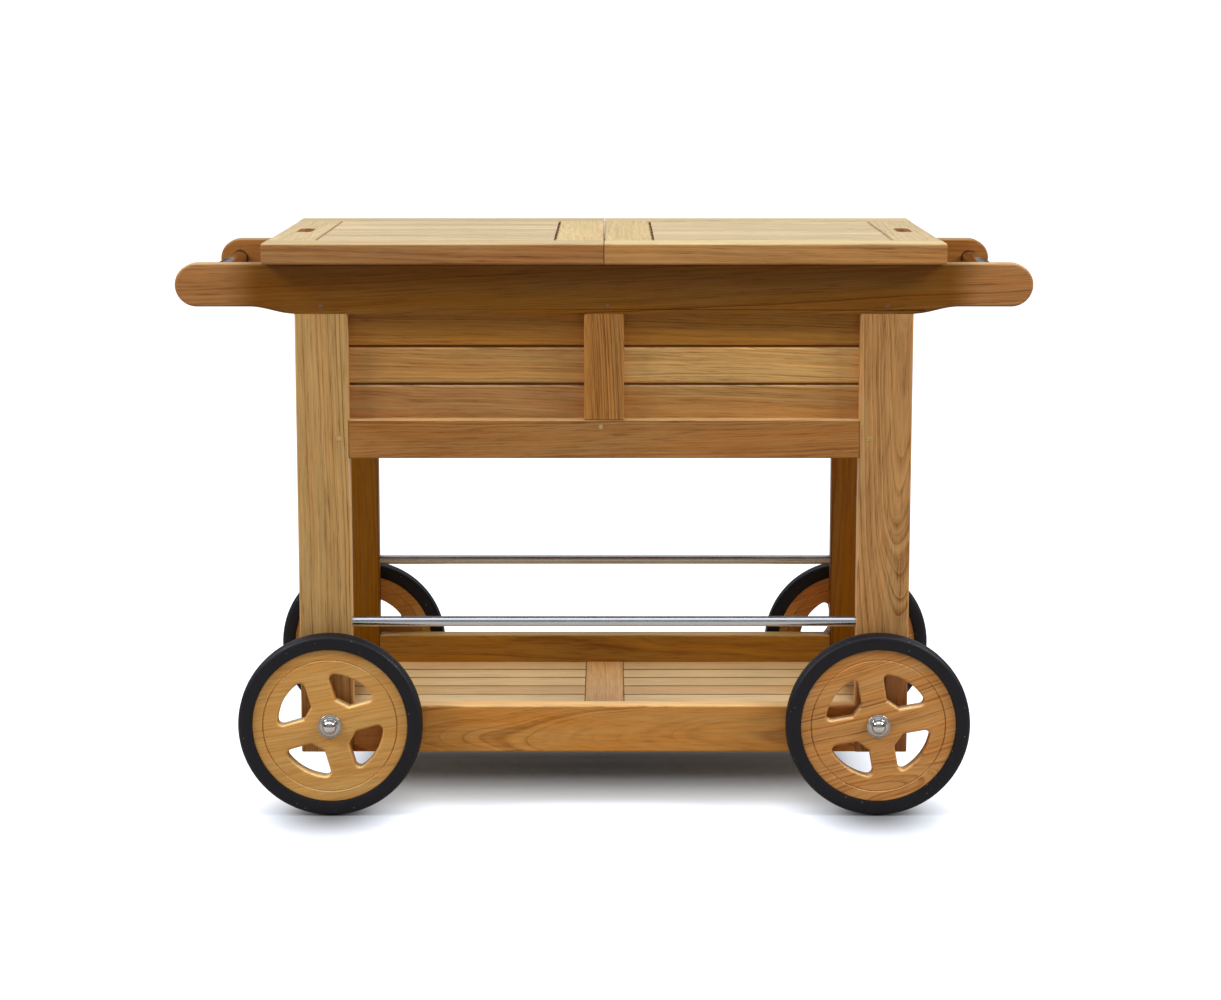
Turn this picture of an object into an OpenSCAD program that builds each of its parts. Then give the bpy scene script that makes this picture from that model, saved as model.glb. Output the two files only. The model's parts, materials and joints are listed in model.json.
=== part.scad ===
// Bar cart: a teak serving trolley on four spoked wooden wheels.
// A slatted box hangs between two long handle rails. Two lids cover the box and slide
// outwards over the handles. A planked shelf lies low between the wheels.
// X runs along the cart, the front faces -Y, and the origin is on the floor below its centre.

/* [Overall] */
// Height of the lids' top face above the floor
cart_height = 900; // [860:1:960]
// Distance between the outer faces of the front and the rear frame
frame_depth = 538; // [480:1:620]
// Thickness of the frame boards
board_t = 32; // [30:1:36]
// Chamfer along the long edges of a board
arris = 2; // [0.5:0.5:3]

/* [Handle rails] */
// Length of a handle rail from tip to tip
rail_length = 1327; // [1280:1:1420]
// Height of a handle rail where it meets the posts
rail_h = 78; // [72:1:90]
// Height of the handle end, which is also the diameter of its round tip
handle_h = 67; // [58:1:70]
// Length over which the underside sweeps up from the post to the handle
sweep_length = 70; // [40:1:80]
// Diameter of the round handlebar that joins the two rails at each end
bar_d = 26; // [22:1:28]
// Depth of the handlebar's sockets in the rails
bar_socket = 10; // [6:1:16]

/* [Posts] */
// Distance from the cart's centre to the middle of a post
post_x = 438; // [425:1:450]
// Width of a post
post_w = 82; // [74:1:90]
// Height of the posts' feet above the floor
foot_z = 93; // [84:1:100]

/* [Slatted box] */
// Height of the rails along the bottom of the box
box_rail_h = 61; // [56:1:75]
// Number of slats between two posts
slat_count = 3; // [2:1:4]
// Width of a slat
slat_w = 55; // [45:1:65]
// Gap between two slats
slat_gap = 4; // [2:0.5:8]
// Thickness of a slat
slat_t = 12; // [8:1:13]
// Width of the stile in the middle of the front and the rear
stile_w = 62; // [54:1:80]
// Thickness of the board that divides the box
divider_t = 12; // [8:1:20]
// Number of planks in the floor of the box
floor_count = 12; // [10:2:14]
// Gap between two floor planks
floor_gap = 4; // [2:0.5:8]
// Thickness of a floor plank
floor_t = 12; // [8:1:16]
// Height of the floor planks' underside above the bottom of the box rails
floor_rise = 28; // [24:1:36]

/* [Lower shelf] */
// Height of the aprons round the shelf
apron_h = 75; // [70:1:85]
// Depth of the shelf below the top of the aprons
shelf_drop = 48; // [44:1:50]
// Thickness of the shelf planks
shelf_t = 15; // [12:1:16]
// Number of planks on each side of the shelf's centre board
shelf_count = 8; // [6:1:10]
// Gap between two shelf planks
shelf_gap = 4; // [2:0.5:8]
// Width of the centre board
centre_w = 64; // [50:1:80]
// Diameter of the guard rods between the posts
rod_d = 16; // [12:1:20]
// Height of the guard rods above the floor
rod_z = 301; // [240:1:400]
// Wall of the handlebar and guard rod tubes
tube_wall = 1.5; // [1:0.25:3]

/* [Lids] */
// Thickness of a lid's frame
lid_t = 32; // [28:1:36]
// Length of a lid, from the seam to its outer end
lid_reach = 526; // [510:1:545]
// Overhang of the lids past the rails at the front and the rear
lid_overhang = 25; // [10:1:35]
// Width of the boards that frame a lid
lid_frame_w = 75; // [68:1:82]
// Number of planks inside a lid's frame
lid_count = 7; // [5:1:9]
// Gap round each lid plank
lid_gap = 3; // [2:0.5:5]
// Thickness of a lid plank
lid_plank_t = 20; // [16:1:22]
// Gap between the two closed lids
lid_seam = 1; // [0.6:0.2:3]
// Width of the finger slot in each lid's outer board
slot_w = 25; // [20:1:30]
// Length of the finger slot
slot_l = 85; // [70:1:110]
// How far a lid slides out
lid_travel = 320; // [200:5:340]
// Height of the runner battens below a lid
runner_h = 18; // [12:1:22]

/* [Wheels] */
// Diameter of a wheel over its tyre
wheel_d = 290; // [280:1:300]
// Distance from the cart's centre to the axles
wheel_x = 430; // [425:1:436]
// Thickness of the tyre from its seat to its tread
tyre_t = 23; // [16:1:28]
// Width of the tyre
tyre_w = 34; // [30:1:40]
// Thickness of the wooden disc
disc_t = 26; // [20:1:28]
// Gap between the tyre and the posts
wheel_gap = 8; // [5:0.5:14]
// Width of the four spokes
spoke_w = 40; // [32:1:46]
// Distance from the axle to the flat inner edge of a cutout
hub_flat = 40; // [34:1:44]
// Radius of the cutouts' outer edge
cutout_r = 83; // [76:1:92]
// Radius of the cutouts' outer corners
corner_r = 8; // [4:1:12]
// Radius of the fine groove round the disc's face
groove_r = 105.3; // [97:0.1:112]
// Turn of the two left wheels as they stand
left_turn = 16; // [0:1:89]
// Turn of the two right wheels as they stand
right_turn = 10; // [0:1:89]

/* [Axles] */
// Diameter of an axle bolt
bolt_d = 12; // [10:1:14]
// Outer diameter of the metal bush in a wheel
bush_d = 20; // [18:1:26]
// Diameter of the outer washer
washer_d = 37; // [30:1:42]
// Diameter of the domed cap nut
nut_d = 25; // [22:1:28]

/* [Clearances] */
// Gap between a lid and the rails that it slides on
slide_gap = 0.3; // [0.3:0.1:1]
// Gap between a lid's runner and the rail beside it
runner_gap = 1.5; // [0.5:0.1:3]
// Gap round a tenon or a slat in its housing
joint_gap = 0.1; // [0.05:0.05:0.3]
// Radial gap of a bush on its bolt, and of a rod, peg or tyre on its seat
fit = 0.05; // [0.02:0.01:0.1]
// Gap along the axle between a turning bush and what stands beside it
end_play = 0.3; // [0.2:0.1:0.6]

/* [Hidden] */
$fn = 96;

// Joinery that is the same all over the cart
tenon_t = 12;
shoulder = 10;
root = 5;
long_tenon = 50;
short_tenon = 16;
stub = 8;
stub_rebate = 4;
slat_housing = 8;
slat_lap = 4;
peg_d = 8;
peg_l = 26;
peg_proud = 0.3;
peg_stagger = 5;
peg_rise = 12;
cleat = 20;
past = 1;

// Heights
lid_bottom = cart_height - lid_t;
rail_top = lid_bottom - slide_gap;
rail_bottom = rail_top - rail_h;
handle_bottom = rail_top - handle_h;
slat_pitch = slat_w + slat_gap;
slats_h = slat_count * slat_pitch - slat_gap;
box_rail_top = rail_bottom - slats_h + 2 * slat_lap;
box_rail_bottom = box_rail_top - box_rail_h;
floor_z = box_rail_bottom + floor_rise;
apron_top = foot_z + apron_h;
shelf_top = apron_top - shelf_drop;
shelf_bottom = shelf_top - shelf_t;
axle_z = wheel_d / 2;

// Places across the cart
outer_y = frame_depth / 2;
inner_y = outer_y - board_t;
mid_y = outer_y - board_t / 2;

// Places along the cart
post_in = post_x - post_w / 2;
post_out = post_x + post_w / 2;
end_in = post_out - board_t;
end_mid = post_out - board_t / 2;
tip_x = (rail_length - handle_h) / 2;
half_stile = stile_w / 2;
sweep_steps = 16;

// Lids
runner_clear = 2;
runner_w = 20;
runner_setback = 9;
runner_out = inner_y - runner_gap;
runner_in = runner_out - runner_w;
end_rail_top = lid_bottom - runner_h - runner_clear;
stop_w = 20;
stop_bite = 12;
stop_bottom = end_rail_top - stop_bite;
stop_out = end_in - lid_travel - end_play;
lid_in = lid_seam / 2;
lid_y = outer_y + lid_overhang;
lid_field_y = lid_y - lid_frame_w;
lid_plank_w = (2 * lid_field_y - (lid_count + 1) * lid_gap) / lid_count;
tongue_l = 8;
tongue_t = 8;
tongue_z = cart_height - lid_plank_t + (lid_plank_t - tongue_t) / 2;
slot_x = lid_reach - lid_frame_w / 2;

// Box floor and shelf
floor_w = (2 * end_in - (floor_count + 1) * floor_gap) / floor_count;
shelf_w = (2 * inner_y - (shelf_count - 1) * shelf_gap) / shelf_count;
bearer_w = 100;
bearer_h = 11;
butt_gap = 1;

// Wheels, measured outwards from the face of the post
wheel_y = outer_y + wheel_gap + tyre_w / 2;
disc_r = wheel_d / 2 - tyre_t;
shoulder_r = 6;
disc_chamfer = 1.5;
groove_w = 2.4;
groove_d = 1.6;
bush_proud = 1.5;
bush_t = disc_t + 2 * bush_proud;
bush_r = bush_d / 2;
bush_inner_y = wheel_y - bush_t / 2;
bush_outer_y = wheel_y + bush_t / 2;
washer_t = 2;
spacer_d = bush_d + 4;
thread_l = 5;
nut_base = 2;
nut_dome = 10;
nut_y = bush_outer_y + end_play + washer_t;
dome_r = (pow(nut_d / 2, 2) + pow(nut_dome, 2)) / (2 * nut_dome);
bolt_end_y = nut_y + nut_base + thread_l;
bolt_head_w = bolt_d + 7;
bolt_head_t = 7.5;

// Outlines and helpers

module section(a, b, c) {
    polygon([[c, 0], [a - c, 0], [a, c], [a, b - c], [a - c, b], [c, b], [0, b - c], [0, c]]);
}

module board_x(low, size, c = arris) {
    translate(low) rotate([90, 0, 90]) linear_extrude(size.x) section(size.y, size.z, c);
}

module board_y(low, size, c = arris) {
    translate(low + [0, size.y, 0]) rotate([90, 0, 0]) linear_extrude(size.y) section(size.x, size.z, c);
}

module board_z(low, size, c = arris) {
    translate(low) linear_extrude(size.z) section(size.x, size.y, c);
}

// A plain block from its low corner to its high corner, larger all round by grow
module block(low, high, grow = 0) {
    translate(low - [grow, grow, grow]) cube(high - low + 2 * [grow, grow, grow]);
}

// A round bar along Y from one depth to another
module bar_y(x, z, low_y, high_y, r) {
    translate([x, high_y, z]) rotate([90, 0, 0]) cylinder(r = r, h = high_y - low_y);
}

module tube_x(half_length, d, y, z) {
    translate([-half_length, y, z]) rotate([0, 90, 0]) difference() {
        cylinder(d = d, h = 2 * half_length);
        translate([0, 0, -past]) cylinder(d = d - 2 * tube_wall, h = 2 * half_length + 2 * past);
    }
}

module to_left() {
    mirror([1, 0, 0]) children();
}

module to_front() {
    mirror([0, 1, 0]) children();
}

module both_x() {
    children();
    to_left() children();
}

module both_y() {
    children();
    to_front() children();
}

// Joinery, drawn for the right rear quarter. A tenon starts inside its own board and is cut,
// larger by grow, from the board that takes it.

module post_tenon(grow = 0) {
    half_w = post_w / 2 - shoulder - stub;
    block([post_x - half_w, mid_y - tenon_t / 2, rail_bottom - root],
          [post_x + half_w, mid_y + tenon_t / 2, rail_bottom + long_tenon], grow);
}

module box_rail_tenon(grow = 0) {
    block([post_in - root, mid_y - tenon_t / 2, box_rail_bottom + shoulder],
          [post_in + short_tenon + stub, mid_y + tenon_t / 2, box_rail_top - shoulder], grow);
}

module apron_tenon(grow = 0) {
    block([post_in - root, mid_y - tenon_t / 2, foot_z + shoulder],
          [post_in + short_tenon, mid_y + tenon_t / 2, apron_top - shoulder], grow);
}

module stile_top_tenon(grow = 0) {
    block([shoulder - half_stile, mid_y - tenon_t / 2, rail_bottom - root],
          [half_stile - shoulder, mid_y + tenon_t / 2, rail_bottom + short_tenon + stub], grow);
}

module stile_bottom_tenon(grow = 0) {
    block([shoulder - half_stile, mid_y - tenon_t / 2, box_rail_top - short_tenon - stub],
          [half_stile - shoulder, mid_y + tenon_t / 2, box_rail_top + root], grow);
}

module end_tenon(low_z, high_z, grow = 0) {
    block([end_mid - tenon_t / 2, inner_y - root, low_z + shoulder],
          [end_mid + tenon_t / 2, inner_y + stub, high_z - shoulder], grow);
}

module end_tenons(grow = 0) {
    end_tenon(rail_bottom, end_rail_top, grow);
    end_tenon(box_rail_bottom, box_rail_top, grow);
    end_tenon(foot_z, apron_top, grow);
}

module centre_stub(grow = 0) {
    block([-centre_w / 2, inner_y - root, shelf_bottom],
          [centre_w / 2, inner_y + stub, shelf_top - stub_rebate], grow);
}

// The space that a group of slats fills in the boards round it. Beside the slats on an end of
// the box it goes open past the face of the end rails.
module side_slat_housing() {
    block([half_stile - slat_housing, inner_y - root, box_rail_top - slat_lap],
          [post_in + slat_housing, inner_y + slat_t, rail_bottom + slat_lap], joint_gap);
}

module end_slat_housing(open = 0) {
    block([end_in - open, -inner_y - slat_housing, box_rail_top - slat_lap],
          [end_in + slat_t, inner_y + slat_housing, rail_bottom + slat_lap], joint_gap);
}

// Pegs pin the tenons from the outer faces
module peg(x, z, r) {
    bar_y(x, z, outer_y + peg_proud - peg_l, outer_y + peg_proud, r);
}

module pegs(r) {
    both_x() {
        peg(post_x, rail_bottom + peg_rise, r);
        peg(post_in + short_tenon, (box_rail_bottom + box_rail_top) / 2, r);
    }
    peg(peg_stagger, rail_bottom + peg_rise, r);
    peg(-peg_stagger, box_rail_top - peg_rise, r);
}

// Frame

function sweep_point(t) = [
    post_out + sweep_length * (1 - t),
    rail_bottom + (rail_h - handle_h) * (1 + cos(180 * t)) / 2
];

module rail_half_outline() {
    polygon(concat(
        [[0, rail_top], [tip_x, rail_top], [tip_x, handle_bottom]],
        [for (i = [0 : sweep_steps]) sweep_point(i / sweep_steps)],
        [[0, rail_bottom]]));
}

module handle_rail() {
    color("peru") difference() {
        union() {
            translate([0, outer_y, 0]) rotate([90, 0, 0]) linear_extrude(board_t)
                both_x() rail_half_outline();
            both_x() bar_y(tip_x, rail_top - handle_h / 2, inner_y, outer_y, handle_h / 2);
        }
        both_x() {
            post_tenon(joint_gap);
            end_tenons(joint_gap);
            side_slat_housing();
            end_slat_housing();
            bar_y(tip_x, rail_top - handle_h / 2, inner_y - past, inner_y + bar_socket + fit,
                  bar_d / 2 + fit);
        }
        stile_top_tenon(joint_gap);
        pegs(peg_d / 2 + fit);
    }
}

module handlebar() {
    color("silver") difference() {
        bar_y(tip_x, rail_top - handle_h / 2, -inner_y - bar_socket, inner_y + bar_socket, bar_d / 2);
        bar_y(tip_x, rail_top - handle_h / 2, -inner_y - bar_socket - past,
              inner_y + bar_socket + past, bar_d / 2 - tube_wall);
    }
}

module post() {
    color("burlywood") difference() {
        union() {
            board_z([post_in, inner_y, foot_z], [post_w, board_t, rail_bottom - foot_z]);
            post_tenon();
        }
        box_rail_tenon(joint_gap);
        apron_tenon(joint_gap);
        end_tenons(joint_gap);
        side_slat_housing();
        end_slat_housing();
        pegs(peg_d / 2 + fit);
        bar_y(wheel_x, axle_z, inner_y - past, outer_y + past, bolt_d / 2 + fit);
        translate([post_in - past, mid_y, rod_z]) rotate([0, 90, 0])
            cylinder(r = rod_d / 2 + fit, h = past + short_tenon + fit);
    }
}

module box_rail() {
    color("peru") difference() {
        union() {
            board_x([-post_in, inner_y, box_rail_bottom], [2 * post_in, board_t, box_rail_h]);
            both_x() box_rail_tenon();
        }
        both_x() side_slat_housing();
        stile_bottom_tenon(joint_gap);
        pegs(peg_d / 2 + fit);
    }
}

module stile() {
    color("burlywood") difference() {
        union() {
            board_z([-half_stile, inner_y, box_rail_top], [stile_w, board_t, rail_bottom - box_rail_top]);
            stile_top_tenon();
            stile_bottom_tenon();
        }
        both_x() side_slat_housing();
        pegs(peg_d / 2 + fit);
    }
}

// Slats one above the other. A tongue on each lower slat closes the gap to the next one.
module side_slats() {
    low_x = half_stile - slat_housing;
    slat_l = post_in + slat_housing - low_x;
    color("peru") for (i = [0 : slat_count - 1]) {
        low_z = box_rail_top - slat_lap + i * slat_pitch;
        board_x([low_x, inner_y, low_z], [slat_l, slat_t, slat_w]);
        if (i < slat_count - 1)
            block([low_x, inner_y + slat_t / 3, low_z + slat_w - root],
                  [low_x + slat_l, inner_y + 2 * slat_t / 3, low_z + slat_pitch - joint_gap]);
    }
}

module end_slats() {
    slat_l = 2 * (inner_y + slat_housing);
    color("peru") for (i = [0 : slat_count - 1]) {
        low_z = box_rail_top - slat_lap + i * slat_pitch;
        board_y([end_in, -slat_l / 2, low_z], [slat_t, slat_l, slat_w]);
        if (i < slat_count - 1)
            block([end_in + slat_t / 3, -slat_l / 2, low_z + slat_w - root],
                  [end_in + 2 * slat_t / 3, slat_l / 2, low_z + slat_pitch - joint_gap]);
    }
}

module end_rail(low_z, high_z) {
    color("peru") difference() {
        union() {
            board_y([end_in, -inner_y, low_z], [board_t, 2 * inner_y, high_z - low_z]);
            both_y() end_tenon(low_z, high_z);
        }
        end_slat_housing(root);
    }
}

module box_divider() {
    color("peru") board_y([-divider_t / 2, -inner_y, floor_z + floor_t],
                          [divider_t, 2 * inner_y, end_rail_top - floor_z - floor_t]);
}

module box_floor_planks() {
    color("burlywood") for (i = [0 : floor_count - 1])
        board_y([-end_in + floor_gap + i * (floor_w + floor_gap), butt_gap - inner_y, floor_z],
                [floor_w, 2 * (inner_y - butt_gap), floor_t], arris / 2);
}

module apron() {
    color("peru") difference() {
        union() {
            board_x([-post_in, inner_y, foot_z], [2 * post_in, board_t, apron_h]);
            both_x() apron_tenon();
        }
        centre_stub(joint_gap);
    }
}

module end_apron() {
    color("peru") {
        board_y([end_in, -inner_y, foot_z], [board_t, 2 * inner_y, apron_h]);
        both_y() end_tenon(foot_z, apron_top);
    }
}

// Shelf

module shelf_centre_board() {
    color("burlywood") {
        board_y([-centre_w / 2, -inner_y, shelf_bottom], [centre_w, 2 * inner_y, shelf_t], arris / 2);
        both_y() centre_stub();
    }
}

module shelf_planks() {
    plank_l = end_in - centre_w / 2 - 2 * butt_gap;
    color("burlywood") both_x() for (i = [0 : shelf_count - 1])
        board_x([centre_w / 2 + butt_gap, -inner_y + i * (shelf_w + shelf_gap), shelf_bottom],
                [plank_l, shelf_w, shelf_t], arris / 2);
}

module support_cleats() {
    color("sienna") {
        both_y() board_x([-end_in, inner_y - cleat, floor_z - cleat], [2 * end_in, cleat, cleat], arris / 2);
        both_x() board_y([end_in - cleat, -inner_y, shelf_bottom - bearer_h],
                         [cleat, 2 * inner_y, bearer_h], arris / 2);
        board_y([-bearer_w / 2, -inner_y, shelf_bottom - bearer_h],
                [bearer_w, 2 * inner_y, bearer_h], arris / 2);
    }
}

module guard_rod() {
    color("silver") tube_x(post_in + short_tenon, rod_d, mid_y, rod_z);
}

module joint_pegs() {
    color("saddlebrown") both_y() pegs(peg_d / 2);
}

// Lids, drawn for the right lid

module lid_end_tenons(low_x, grow = 0) {
    both_y() block([low_x + shoulder, lid_field_y - root, lid_bottom + shoulder],
                   [low_x + lid_frame_w - shoulder, lid_field_y + short_tenon, cart_height - shoulder],
                   grow);
}

// The groove in both end boards that takes the tongues of the planks
module lid_groove() {
    block([lid_in + lid_frame_w - tongue_l, -lid_field_y - joint_gap, tongue_z],
          [lid_reach - lid_frame_w + tongue_l, lid_field_y + joint_gap, tongue_z + tongue_t], joint_gap);
}

module lid_rails() {
    color("burlywood") difference() {
        both_y() board_x([lid_in, lid_field_y, lid_bottom], [lid_reach - lid_in, lid_frame_w, lid_t]);
        lid_end_tenons(lid_in, joint_gap);
        lid_end_tenons(lid_reach - lid_frame_w, joint_gap);
    }
}

module lid_end_board(low_x) {
    difference() {
        union() {
            board_y([low_x, -lid_field_y, lid_bottom], [lid_frame_w, 2 * lid_field_y, lid_t]);
            lid_end_tenons(low_x);
        }
        lid_groove();
    }
}

module lid_inner_board() {
    color("burlywood") lid_end_board(lid_in);
}

module lid_outer_board() {
    color("burlywood") difference() {
        lid_end_board(lid_reach - lid_frame_w);
        translate([slot_x, 0, lid_bottom - past]) linear_extrude(lid_t + 2 * past) {
            square([slot_w, slot_l - slot_w], center = true);
            for (side = [-1, 1])
                translate([0, side * (slot_l - slot_w) / 2]) circle(d = slot_w);
        }
    }
}

module lid_planks() {
    low_x = lid_in + lid_frame_w;
    high_x = lid_reach - lid_frame_w;
    color("wheat") for (i = [0 : lid_count - 1]) {
        low_y = -lid_field_y + lid_gap + i * (lid_plank_w + lid_gap);
        board_x([low_x + lid_gap, low_y, cart_height - lid_plank_t],
                [high_x - low_x - 2 * lid_gap, lid_plank_w, lid_plank_t]);
        block([low_x - tongue_l, low_y + shoulder, tongue_z],
              [high_x + tongue_l, low_y + lid_plank_w - shoulder, tongue_z + tongue_t]);
    }
}

// Two runners keep the lid between the rails, and a stop batten ends its travel
module lid_battens() {
    color("sienna") {
        both_y() board_x([lid_in + runner_setback, runner_in, lid_bottom - runner_h],
                         [lid_reach - lid_in - 2 * runner_setback, runner_w, runner_h], arris / 2);
        board_y([stop_out - stop_w, joint_gap - runner_in, stop_bottom],
                [stop_w, 2 * (runner_in - joint_gap), cart_height - lid_plank_t - stop_bottom],
                arris / 2);
    }
}

// Wheels, drawn about their own axle with Z pointing out of the cart

module cutout() {
    edge = spoke_w / 2;
    chamfer_sum = hub_flat * sqrt(2);
    fillet_far = sqrt(pow(cutout_r - corner_r, 2) - pow(edge + corner_r, 2));
    fillet_near = edge + corner_r;
    reach = 1.5;
    intersection() {
        circle(r = cutout_r);
        polygon([
            [edge, chamfer_sum - edge], [edge, fillet_far], [fillet_near, fillet_far],
            reach * [fillet_near, fillet_far], reach * [fillet_far, fillet_near],
            [fillet_far, fillet_near], [fillet_far, edge], [chamfer_sum - edge, edge]
        ]);
    }
    translate([fillet_near, fillet_far]) circle(r = corner_r);
    translate([fillet_far, fillet_near]) circle(r = corner_r);
}

module disc() {
    half = disc_t / 2;
    edge_r = disc_r - fit;
    color("peru") difference() {
        rotate_extrude() polygon([
            [bush_r + fit, -half], [edge_r - disc_chamfer, -half], [edge_r, disc_chamfer - half],
            [edge_r, half - disc_chamfer], [edge_r - disc_chamfer, half],
            [groove_r + groove_w / 2, half], [groove_r, half - groove_d],
            [groove_r - groove_w / 2, half], [bush_r + fit, half]
        ]);
        for (quarter = [0 : 3])
            rotate(90 * quarter) translate([0, 0, -half - past]) linear_extrude(disc_t + 2 * past)
                cutout();
    }
}

module tyre() {
    color([0.1, 0.1, 0.12]) rotate_extrude() {
        translate([disc_r, -tyre_w / 2]) square([tyre_t - shoulder_r, tyre_w]);
        translate([disc_r, shoulder_r - tyre_w / 2]) square([tyre_t, tyre_w - 2 * shoulder_r]);
        for (side = [-1, 1])
            translate([wheel_d / 2 - shoulder_r, side * (tyre_w / 2 - shoulder_r)])
                circle(r = shoulder_r);
    }
}

module bush() {
    color("gray") difference() {
        cylinder(r = bush_r, h = bush_t, center = true);
        cylinder(r = bolt_d / 2 + fit, h = bush_t + 2 * past, center = true);
    }
}

module front_wheel_place(x, turn) {
    translate([x, -wheel_y, axle_z]) rotate([90, 0, 0]) rotate(turn) children();
}

// Fasteners of one wheel, drawn for the right rear quarter

module axle_bolt() {
    bar_y(wheel_x, axle_z, inner_y - past, bolt_end_y, bolt_d / 2);
    translate([wheel_x, inner_y, axle_z]) rotate([90, 0, 0])
        cylinder(d = bolt_head_w / cos(30), h = bolt_head_t, $fn = 6);
}

module ring_y(low_y, high_y, d) {
    difference() {
        bar_y(wheel_x, axle_z, low_y, high_y, d / 2);
        bar_y(wheel_x, axle_z, low_y - past, high_y + past, bolt_d / 2 + fit);
    }
}

module cap_nut() {
    dome_low_y = nut_y + nut_base;
    difference() {
        union() {
            bar_y(wheel_x, axle_z, nut_y, dome_low_y, nut_d / 2);
            intersection() {
                translate([wheel_x, dome_low_y + nut_dome - dome_r, axle_z]) sphere(r = dome_r);
                bar_y(wheel_x, axle_z, dome_low_y - past, dome_low_y + nut_dome + past, nut_d / 2);
            }
        }
        bar_y(wheel_x, axle_z, nut_y - past, bolt_end_y + fit, bolt_d / 2 + fit);
    }
}

module axle_bolts() {
    color("silver") both_x() both_y() axle_bolt();
}

module axle_washers() {
    color("silver") both_x() both_y() {
        ring_y(outer_y, bush_inner_y - end_play, spacer_d);
        ring_y(bush_outer_y + end_play, nut_y, washer_d);
    }
}

module cap_nuts() {
    color("silver") both_x() both_y() cap_nut();
}

// One call for each separate piece or group
to_front() handle_rail();  // front_handle_rail
handle_rail();  // rear_handle_rail
to_left() handlebar();  // left_handlebar
handlebar();  // right_handlebar
to_left() to_front() post();  // front_left_post
to_front() post();  // front_right_post
to_left() post();  // rear_left_post
post();  // rear_right_post
to_front() box_rail();  // front_box_rail
box_rail();  // rear_box_rail
to_front() stile();  // front_stile
stile();  // rear_stile
to_left() to_front() side_slats();  // front_left_slats
to_front() side_slats();  // front_right_slats
to_left() side_slats();  // rear_left_slats
side_slats();  // rear_right_slats
to_left() end_rail(rail_bottom, end_rail_top);  // left_end_top_rail
end_rail(rail_bottom, end_rail_top);  // right_end_top_rail
to_left() end_rail(box_rail_bottom, box_rail_top);  // left_end_bottom_rail
end_rail(box_rail_bottom, box_rail_top);  // right_end_bottom_rail
to_left() end_slats();  // left_end_slats
end_slats();  // right_end_slats
box_divider();
box_floor_planks();
to_front() apron();  // front_apron
apron();  // rear_apron
to_left() end_apron();  // left_apron
end_apron();  // right_apron
shelf_centre_board();
shelf_planks();
support_cleats();
to_front() guard_rod();  // front_guard_rod
guard_rod();  // rear_guard_rod
joint_pegs();
axle_bolts();
axle_washers();
cap_nuts();
to_left() lid_rails();  // left_lid_rails
to_left() lid_inner_board();  // left_lid_inner_board
to_left() lid_outer_board();  // left_lid_outer_board
to_left() lid_planks();  // left_lid_planks
to_left() lid_battens();  // left_lid_battens
lid_rails();  // right_lid_rails
lid_inner_board();  // right_lid_inner_board
lid_outer_board();  // right_lid_outer_board
lid_planks();  // right_lid_planks
lid_battens();  // right_lid_battens
front_wheel_place(-wheel_x, left_turn) disc();  // front_left_disc
front_wheel_place(-wheel_x, left_turn) tyre();  // front_left_tyre
front_wheel_place(-wheel_x, left_turn) bush();  // front_left_bush
front_wheel_place(wheel_x, right_turn) disc();  // front_right_disc
front_wheel_place(wheel_x, right_turn) tyre();  // front_right_tyre
front_wheel_place(wheel_x, right_turn) bush();  // front_right_bush
to_front() front_wheel_place(-wheel_x, left_turn) disc();  // rear_left_disc
to_front() front_wheel_place(-wheel_x, left_turn) tyre();  // rear_left_tyre
to_front() front_wheel_place(-wheel_x, left_turn) bush();  // rear_left_bush
to_front() front_wheel_place(wheel_x, right_turn) disc();  // rear_right_disc
to_front() front_wheel_place(wheel_x, right_turn) tyre();  // rear_right_tyre
to_front() front_wheel_place(wheel_x, right_turn) bush();  // rear_right_bush
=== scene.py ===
# %% [markdown]
# # A teak bar cart
#
# The cart's construction comes as a fixed frame: every board, tube and wheel is there at its real
# size. This script gives each piece its finish, models the turned pieces anew with finer form,
# and sets up the light and the camera. The frame's outer box is kept, because nothing that is
# added may grow past it.

# %% Load the frame
import json
import math
from types import SimpleNamespace

import bpy
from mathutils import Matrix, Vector

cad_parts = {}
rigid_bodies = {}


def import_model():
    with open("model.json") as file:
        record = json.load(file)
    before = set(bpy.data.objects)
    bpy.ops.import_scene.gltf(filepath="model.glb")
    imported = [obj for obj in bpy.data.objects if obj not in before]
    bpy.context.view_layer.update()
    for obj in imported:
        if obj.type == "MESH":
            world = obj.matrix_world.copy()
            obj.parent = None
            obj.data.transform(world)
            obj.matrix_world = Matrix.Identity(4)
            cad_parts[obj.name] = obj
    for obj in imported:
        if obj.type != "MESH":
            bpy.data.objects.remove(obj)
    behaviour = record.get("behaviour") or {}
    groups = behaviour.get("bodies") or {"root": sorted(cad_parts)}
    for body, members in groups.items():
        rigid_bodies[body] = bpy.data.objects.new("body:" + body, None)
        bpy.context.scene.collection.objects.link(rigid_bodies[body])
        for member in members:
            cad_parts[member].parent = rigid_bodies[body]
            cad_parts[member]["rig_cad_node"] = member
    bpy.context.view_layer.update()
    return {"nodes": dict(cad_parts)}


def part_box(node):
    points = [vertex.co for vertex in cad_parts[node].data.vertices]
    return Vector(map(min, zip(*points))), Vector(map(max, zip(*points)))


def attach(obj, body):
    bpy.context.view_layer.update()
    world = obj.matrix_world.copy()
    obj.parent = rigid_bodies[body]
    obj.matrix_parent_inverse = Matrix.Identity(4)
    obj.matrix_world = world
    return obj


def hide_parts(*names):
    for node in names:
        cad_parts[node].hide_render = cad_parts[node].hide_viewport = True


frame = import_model()
nodes = frame["nodes"]
scene = bpy.context.scene
mm = 0.001

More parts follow.
